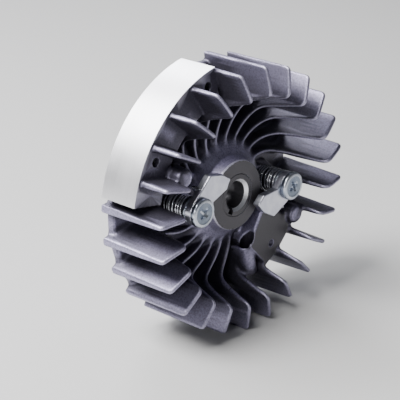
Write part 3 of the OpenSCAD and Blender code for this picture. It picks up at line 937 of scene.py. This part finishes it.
def buildScrew(side, turn):
    c = screws
    front, back = c["front"], c["front"] - c["headHeight"]
    shoulderEnd = casting["postFront"]
    tip = shoulderEnd - c["threadLength"]
    thread = []
    z = shoulderEnd - 0.5
    while z > tip + 1:
        thread += [(c["threadRadius"], z), (c["threadRadius"], z - 0.15), (c["threadRadius"] - 0.35, z - 0.45)]
        z -= 0.8
    profile = [(0, front - c["dish"]), (3.1, front - 0.6 * c["dish"])]
    profile += roundedStep(4.15, front - 0.25, 0.25, 120, 60)
    profile += roundedStep(4.55, front - 0.85, 0.85, 75, 0)
    profile += roundedStep(c["headRadius"] - 0.2, back + 0.2, 0.2, 0, -90, 4)
    profile += [(c["shoulderRadius"] + 0.3, back), (c["shoulderRadius"], back - 0.06),
                (c["shoulderRadius"], shoulderEnd), (c["threadRadius"] - 0.2, shoulderEnd)]
    profile += thread + [(c["threadRadius"] - 0.6, tip), (0, tip)]
    points, faces = lathe(profile[::-1], 72)
    bars = []
    for quarter in (0, 90):
        half, width = c["slotHalf"], c["slotWidth"] / 2
        mouth = (half + 0.2, width + 0.15, front + 0.4)
        bottom = (half - 1.3, width * 0.75, front - c["slotDepth"])
        bars.append((turn + quarter, [mouth, bottom]))
    mesh = cutBars(side + "Screw", points, faces, bars, 0.07)
    co = meshPoints(mesh)
    # the driver has rubbed the recess bright; the rim's brighter plate is a painted highlight
    for face in mesh.polygons:
        reach, height = np.hypot(*face.center[:2]), face.center[2]
        recess = reach < 3.1 and front - c["slotDepth"] - 0.1 < height < front - c["dish"] - 0.04
        # painted highlight on the head's rim
        rim = 4.0 < reach < c["headRadius"] - 0.02 and height > front - 0.95
        face.material_index = int(recess or rim)
    finishMesh(mesh, placed(co, side))
    obj = addPiece(side + "Screw", mesh, replaces=("pawl_screw_" + side,),
                   mats=(materials["screw"], materials["washer"]))
    shadeByAngle(obj, 32, True)
    return obj


def buildBush():
    c = bush
    front = wheel["hubFront"]
    neck, foot = front - casting["spigotLength"], c["boreFoot"]
    middle = (front + c["back"]) / 2
    high, low = middle + casting["collarHalf"] - 0.05, middle - casting["collarHalf"] + 0.05
    spigot, body, collar = casting["spigotRadius"] - 0.03, c["radius"] - 0.03, casting["collarRadius"] - 0.05
    taperAt = c["bore"] + (c["taper"] - c["bore"]) * 0.02
    loop = [(c["bore"] + c["chamfer"], front), (spigot - 0.25, front), (spigot, front - 0.25),
            (spigot, neck - 0.05), (body, neck - 0.05), (body, high), (collar, high), (collar, low), (body, low),
            (body, c["back"] + 0.4), (body - 0.4, c["back"]), (c["taper"] + 0.4, c["back"]),
            (c["taper"], c["back"] + 0.4), (taperAt, foot - 0.1), (c["bore"], foot),
            (c["bore"], front - c["chamfer"])]
    points, faces = lathe(loop + loop[:1], 120)
    key = [(c["keyReach"] / 2, c["keyWidth"] / 2, h) for h in (front + 1, c["back"] - 1)]
    mesh = cutBars("hubBush", points, faces, [(c["keyTurn"], key, c["keyReach"] / 2)], 0.08)
    # the bore's chamfer gets the bright turned finish as a painted highlight
    for face in mesh.polygons:
        reach, height = np.hypot(*face.center[:2]), face.center[2]
        chamferHighlight = front - c["chamfer"] - 0.05 < height < front - 0.05
        face.material_index = int(reach < c["bore"] + c["chamfer"] + 0.1 and chamferHighlight)
    finishMesh(mesh, meshPoints(mesh))
    obj = addPiece("hubBush", mesh, replaces=("hub_bush",),
                   mats=(materials["bush"], materials["turned"]))
    shadeByAngle(obj, 32, True)
    return obj


def buildWasher(side):
    c = washers
    rings = [arcPoints((0, 0), r, 0, 360, 73)[:-1] for r in (c["radius"], pawls["eyeBore"])]
    mesh, co = plateMesh(side + "Washer", rings, c["front"] - c["thickness"], c["front"], c["edge"])
    finishMesh(mesh, placed(co, side))
    obj = addPiece(side + "Washer", mesh, replaces=("pawl_washer_" + side,),
                   mats=(materials["washer"],))
    shadeByAngle(obj, 35, True)
    return obj


def sweepWire(path, radius, sides):
    # round wire along a path, with domed ends
    path = np.asarray(path, float)
    ends = []
    for end, inward in ((0, 1), (-1, -2)):
        out = path[end] - path[inward]
        ends.append(out / np.linalg.norm(out))
    path = np.vstack([path[0] + ends[0] * 0.15, path, path[-1] + ends[1] * 0.15])
    width = np.full(len(path), radius)
    width[0] = width[-1] = radius * 0.7
    tangent = np.gradient(path, axis=0)
    tangent /= np.linalg.norm(tangent, axis=1)[:, None]
    side = np.cross(tangent[0], (0, 0, 1))
    points, faces = [], []
    for i, (p, t) in enumerate(zip(path, tangent)):
        side = side - t * (side @ t)
        side /= np.linalg.norm(side)
        up = np.cross(side, t)
        for j in range(sides):
            a = 2 * math.pi * j / sides
            points.append(p + width[i] * (math.cos(a) * side + math.sin(a) * up))
    for i in range(len(path) - 1):
        for j in range(sides):
            k = (j + 1) % sides
            faces.append((i * sides + j, i * sides + k, (i + 1) * sides + k, (i + 1) * sides + j))
    faces += [tuple(range(sides))[::-1], tuple((len(path) - 1) * sides + j for j in range(sides))]
    return points, faces


def buildSpring(side):
    c = springs
    steps = c["turns"] * c["stepsPerTurn"]
    path = [(c["coil"], y, c["foot"]) for y in np.linspace(-c["footLeg"], -0.6, 6)]
    for i in range(steps + 1):
        u = i / steps
        # end coils lie close together, the free coils are spread between them
        rise = u + 0.055 * math.sin(4 * math.pi * u) / 2
        path.append((*polar(c["coil"], 360 * c["turns"] * u), c["foot"] + (c["top"] - c["foot"]) * rise))
    bend = [(c["coil"], 0.6, c["top"]), (c["coil"], 4.5, c["top"]), (c["hookX"], c["hookY"], c["top"]),
            (c["hookX"], c["hookY"] + 0.1, -8.6), (c["hookX"], c["hookY"] + 0.2, c["hookTop"])]
    for _ in range(3):
        inner = []
        for p, q in zip(bend[:-1], bend[1:]):
            p, q = np.array(p), np.array(q)
            inner += [tuple(0.75 * p + 0.25 * q), tuple(0.25 * p + 0.75 * q)]
        bend = [bend[0]] + inner + [bend[-1]]
    path += bend
    points, faces = sweepWire(path, c["wire"], c["sides"])
    mesh = bpy.data.meshes.new(side + "Spring")
    mesh.from_pydata([(0, 0, 0)] * len(points), [], faces)
    turn = pawls["rest"][side] + (180 if side == "right" else 0)
    finishMesh(mesh, placed(points, side, turn))
    obj = bpy.data.objects.new(side + "Spring", mesh)
    bpy.context.scene.collection.objects.link(obj)
    obj.data.materials.append(materials["spring"])
    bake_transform(obj)
    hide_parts("pawl_spring_" + side)
    shadeByAngle(obj, 50)
    return obj


print("pawls, screws, washers and springs")
for side, turn in (("left", 47), ("right", 28)):
    buildPawl(side)
    buildWasher(side)
    buildScrew(side, turn)
    buildSpring(side)

buildBush()

# the magnet's pieces lie inside the sector and keep the frame's own meshes
for node, look in {"rotor_magnet": "magnet", "pole_shoe_leading": "pole", "pole_shoe_trailing": "pole",
                   "pole_pins": "pole"}.items():
    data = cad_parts[node].data
    data.materials.clear()
    data.materials.append(materials[look])


# studio

studio = {
    "floor": (0.44, 0.44, 0.44),
    "world": (0.80, 0.84, 0.92),
    "worldStrength": 0.10,
    "lights": [  # name, place, size, watts, colour
        ("keyLight", (-0.50, 0.12, 0.74), 0.5, 25, (1.0, 0.99, 0.98)),
        ("backLight", (0.30, 0.62, 0.55), 0.4, 5, (0.95, 0.96, 1.0)),
        ("bandLight", (-0.33, 0.54, 0.64), 0.5, 8, (1.0, 1.0, 1.0)),
        ("rimLight", (-0.86, -0.38, 0.30), 0.14, 2.2, (1.0, 1.0, 1.0)),
    ],
}


def addFloor():
    mesh = bpy.data.meshes.new("floor")
    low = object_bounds()[0].z
    s = 4.0
    mesh.from_pydata([(-s, -s, low), (s, -s, low), (s, s, low), (-s, s, low)], [], [(0, 1, 2, 3)])
    obj = bpy.data.objects.new("floor", mesh)
    bpy.context.scene.collection.objects.link(obj)
    m, nodes, links, shader = newMaterial("paleFloor", studio["floor"], 0, 0.6)
    mesh.materials.append(m)


def addLights():
    middle = Vector((0, 0, 0))
    for name, place, size, watts, colour in studio["lights"]:
        lamp = bpy.data.lights.new(name, "AREA")
        lamp.shape = "DISK"
        lamp.size = size
        lamp.energy = watts
        lamp.color = colour
        obj = bpy.data.objects.new(name, lamp)
        obj.location = place
        obj.rotation_euler = (middle - Vector(place)).to_track_quat("-Z", "Y").to_euler()
        bpy.context.scene.collection.objects.link(obj)
    world = bpy.data.worlds.new("studio")
    world.use_nodes = True
    background = world.node_tree.nodes["Background"]
    background.inputs["Color"].default_value = (*studio["world"], 1)
    background.inputs["Strength"].default_value = studio["worldStrength"]
    bpy.context.scene.world = world


viewpoint = {"azimuth": 49.61, "elevation": 21.68, "distance": 0.5545,
             "lens": 138.45, "aside": -0.0210, "above": 0.0005}


def addCamera():
    v = viewpoint
    a, e = math.radians(v["azimuth"]), math.radians(v["elevation"])
    back = Vector((-math.sin(a) * math.cos(e), -math.cos(a) * math.cos(e), math.sin(e)))
    right = Vector((math.cos(a), -math.sin(a), 0))
    up = back.cross(right)
    centre = Vector((0, wheel["originHeight"] / 1000, 0))
    place = centre + back * v["distance"]
    aim = centre + right * v["aside"] + up * v["above"]
    cam = bpy.data.cameras.new("camera")
    cam.lens = v["lens"]
    cam.sensor_width = 36
    cam.clip_start = 0.01
    obj = bpy.data.objects.new("camera", cam)
    obj.location = place
    obj.rotation_euler = (aim - place).to_track_quat("-Z", "Y").to_euler()
    bpy.context.scene.collection.objects.link(obj)
    bpy.context.scene.camera = obj


print("studio")
addFloor()
addLights()
addCamera()
